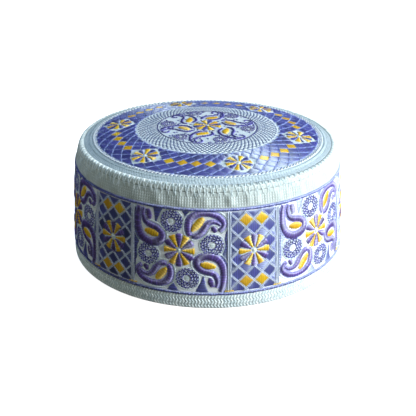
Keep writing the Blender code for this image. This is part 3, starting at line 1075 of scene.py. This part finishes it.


# Every thread: slot, dark tone and light tone, then gloss, gloss colour and IOR where they aren't plain.
THREADS = {
    "purple": ("violet_thread", (0.016, 0.004, 0.05), (0.22, 0.135, 0.68), 1.0, (0.75, 0.86, 1.0), 2.3),
    "violet": ("violet_thread", (0.01, 0.008, 0.08), (0.14, 0.15, 0.74), 1.0, (0.75, 0.92, 1.0), 2.6),
    "ink": ("violet_thread", (0.006, 0.005, 0.045), (0.09, 0.09, 0.42)),
    "lavender": ("violet_thread", (0.10, 0.10, 0.36), (0.46, 0.51, 0.97), 0.8),
    "slate": ("violet_thread", (0.02, 0.035, 0.14), (0.09, 0.14, 0.36)),
    "gold": ("gold_thread", (0.46, 0.20, 0.0), (1.0, 0.74, 0.01), 1.0, (1.0, 0.97, 0.6), 2.2),
    "blue": ("pale_thread", (0.12, 0.18, 0.42), (0.36, 0.47, 0.86)),
    "frost": ("pale_thread", (0.48, 0.62, 0.70), (0.88, 0.97, 1.0)),
    "pale": ("pale_thread", (0.40, 0.54, 0.60), (0.80, 0.92, 0.96)),
    "white": ("pale_thread", (0.54, 0.66, 0.70), (0.92, 0.97, 0.99)),
    "pearl": ("pale_thread", (0.40, 0.50, 0.68), (0.74, 0.83, 0.99)),
    "border": ("pale_thread", (0.22, 0.32, 0.37), (0.46, 0.59, 0.64)),
}

# Every stitched piece: its key in the work, its name and its thread.
SIDE_PIECES = (
    ("violet", "side_violet_motifs", "purple"),
    ("lavender", "side_lavender_edges", "lavender"),
    ("gold", "side_gold_motifs", "gold"),
    ("pale", "side_pale_cords", "pale"),
    ("white", "side_lattice_cords", "pearl"),
    ("ground", "side_violet_grounds", "violet"),
    ("loops", "side_rosette_loops", "ink"),
    ("cells", "side_lattice_cells", "violet"),
    ("cords", "side_border_cords", "violet"),
    ("specks", "side_border_specks", "lavender"),
)
CROWN_PIECES = (
    ("violet", "crown_violet_motifs", "violet"),
    ("gold", "crown_gold_motifs", "gold"),
    ("lavender", "crown_lavender_edges", "lavender"),
    ("pale", "crown_pale_pads", "pale"),
    ("white", "crown_white_stitches", "white"),
    ("blue", "crown_lattice_cords", "blue"),
    ("ink", "crown_dark_outlines", "ink"),
    ("loops", "crown_rosette_loops", "ink"),
    ("cells", "crown_lattice_cells", "violet"),
    ("pale_cells", "crown_pale_lattice", "frost"),
    ("slate", "crown_pale_lattice_lines", "slate"),
    ("rounds", "crown_flower_rounds", "pale"),
    ("border", "crown_border_stitches", "border"),
)
EDGE_PIECES = (
    ("seam", "seam_overcast_stitches", "pale"),
    ("shoulder", "shoulder_stitches", "pale"),
    ("hem", "hem_zigzag_stitches", "pale"),
)


def embroider():
    """Sews every stitched piece and gives it its thread."""
    threads = {key: thread_material(f"{key}_thread", *look) for key, (_, *look) in THREADS.items()}
    for pieces, sewers in (
        (SIDE_PIECES, (side_embroidery, border_cords)),
        (CROWN_PIECES, (ring_cells, pale_ring, dotted_rings, crown_flowers, medallion, crown_border)),
        (EDGE_PIECES, (seam_hooks, shoulder_stitches, hem_stitches)),
    ):
        work = {key: Sewing() for key, _, _ in pieces}
        for sew in sewers:
            sew(work)
        for key, name, thread in pieces:
            work[key].finish(name, threads[thread], THREADS[thread][0])


def cut_cloth():
    """The five pieces of cloth, each in place of its solid."""
    foot = BAND_FOOT - SEWN_GAP
    side = wall(BAND_TOP, foot, 32) + wall(foot, BAND_TOP, 8, SIDE_WALL)
    foot = SHOULDER_FOOT - SEWN_GAP
    shoulder = wall(CROWN_FOOT, foot, 26) + wall(foot, SHOULDER_TOP, 4, SIDE_WALL)
    roll = seam_curve(12)
    seam = [*roll, *(roll[-1] + (roll[0] - roll[-1]) * t for t in (0.25, 0.5, 0.75))]
    hem = cloth_material("hem_cloth", (0.47, 0.58, 0.62), (0.56, 0.67, 0.71))
    pale = cloth_material("pale_cloth", (0.37, 0.46, 0.47), (0.56, 0.66, 0.66))
    crown = cloth_material("crown_cloth", (0.36, 0.48, 0.57), (0.54, 0.67, 0.76), pitch=0.4)
    bright = cloth_material("side_cloth", (0.62, 0.72, 0.80), (0.86, 0.93, 0.99), pitch=0.42)
    for name, material, slot, solid, profile, steps, relief in (
        ("hem_cloth", hem, "pale_cloth", "hem_band", hem_profile(), HEM_STEPS, None),
        ("side_cloth", bright, "violet_thread", "embroidered_band", side, SIDE_STEPS, None),
        ("shoulder_cloth", pale, "pale_cloth", "shoulder_band", shoulder, SHOULDER_STEPS, shoulder_relief),
        ("seam_roll", pale, "pale_thread", "crown_edge_seam", seam, SIDE_STEPS, None),
    ):
        turned_cloth(name, material, slot, solid, profile, steps, relief)
    crown_cloth("crown_cloth", crown)


# The camera stands where the photo was taken from. Angles in degrees, azimuths from +X, the rest in metres.
CAMERA_DISTANCE = 0.5164
CAMERA_ELEVATION = 26.56
CAMERA_AZIMUTH = -78.97
CAMERA_AIM_SIDE = 0.00047
CAMERA_AIM_HEIGHT = 0.02491
CAMERA_LENS = 62.66

# Name, azimuth, elevation, distance, size, watts, colour.
LIGHTS = (
    ("window", -10.0, 20.0, 1.3, 0.9, 39.0, (1.0, 1.0, 0.98)),
    ("back_fill", 220.0, 36.0, 1.4, 0.9, 3.2, (1.0, 0.92, 0.70)),
    ("sky", -90.0, 84.0, 1.4, 1.1, 4.0, (0.44, 0.71, 1.0)),
    ("far_sky", 140.0, 30.0, 1.4, 1.1, 5.0, (0.38, 0.61, 1.0)),
    ("back_soft", 105.0, 10.0, 1.4, 0.9, 13.0, (0.85, 0.93, 1.0)),
)
WORLD_COLOUR = (0.88, 0.92, 0.88)
WORLD_STRENGTH = 0.12
LIGHTS_TARGET = (0.0, 0.0, 0.04)
FLOOR_GLOW = 0.8
FLOOR_HEIGHT = -0.0002
STAGE_RADIUS = 4.0


def direction(azimuth, elevation):
    """The unit vector to this azimuth and elevation."""
    a, e = math.radians(azimuth), math.radians(elevation)
    return Vector((math.cos(a) * math.cos(e), math.sin(a) * math.cos(e), math.sin(e)))


def set_up(name, data, target, toward, distance):
    """A camera or a light at this distance from its target, which it points at."""
    thing = bpy.data.objects.new(name, data)
    thing.location = target + distance * toward
    thing.rotation_euler = (-toward).to_track_quat("-Z", "Y").to_euler()
    bpy.context.scene.collection.objects.link(thing)
    return thing


def add_camera():
    aim = CAMERA_AIM_SIDE * direction(CAMERA_AZIMUTH + 90.0, 0.0) + Vector((0.0, 0.0, CAMERA_AIM_HEIGHT))
    data = bpy.data.cameras.new("photo_camera")
    data.lens = CAMERA_LENS
    data.sensor_width = 36.0
    toward = direction(CAMERA_AZIMUTH, CAMERA_ELEVATION)
    bpy.context.scene.camera = set_up("photo_camera", data, aim, toward, CAMERA_DISTANCE)


def add_lights():
    for name, azimuth, elevation, distance, size, watts, colour in LIGHTS:
        data = bpy.data.lights.new(name, "AREA")
        data.shape = "DISK"
        data.size = size
        data.energy = watts
        data.color = colour
        light = set_up(name, data, Vector(LIGHTS_TARGET), direction(azimuth, elevation), distance)
        light.visible_glossy = name == "window"
    world = bpy.data.worlds.new("studio")
    bpy.context.scene.world = world
    world.cycles_visibility.glossy = False
    world.use_nodes = True
    feed(world.node_tree.nodes["Background"], {"Color": (*WORLD_COLOUR, 1.0), "Strength": WORLD_STRENGTH})


def add_floor():
    """A pale floor and a pale backdrop round it, which light nothing themselves."""
    middle = (0.0, 0.0, FLOOR_HEIGHT)
    bpy.ops.mesh.primitive_circle_add(vertices=96, radius=STAGE_RADIUS, fill_type="NGON", location=middle)
    floor = bpy.context.object
    floor.name = "floor"
    material, _, shader = new_material("floor_paper")
    feed(shader, {
        "Base Color": (0.95, 0.95, 0.95, 1.0),
        "Roughness": 0.9,
        "Emission Color": (1.0, 1.0, 1.0, 1.0),
        "Emission Strength": FLOOR_GLOW,
    })
    bpy.ops.mesh.primitive_uv_sphere_add(segments=96, ring_count=48, radius=STAGE_RADIUS)
    backdrop = bpy.context.object
    backdrop.name = "backdrop"
    backdrop.visible_shadow = False
    for staged in (floor, backdrop):
        staged.data.materials.append(material)
        staged.visible_diffuse = False
        staged.visible_glossy = False


cut_cloth()
embroider()
add_camera()
add_lights()
add_floor()
bpy.context.scene.view_settings.view_transform = "Standard"
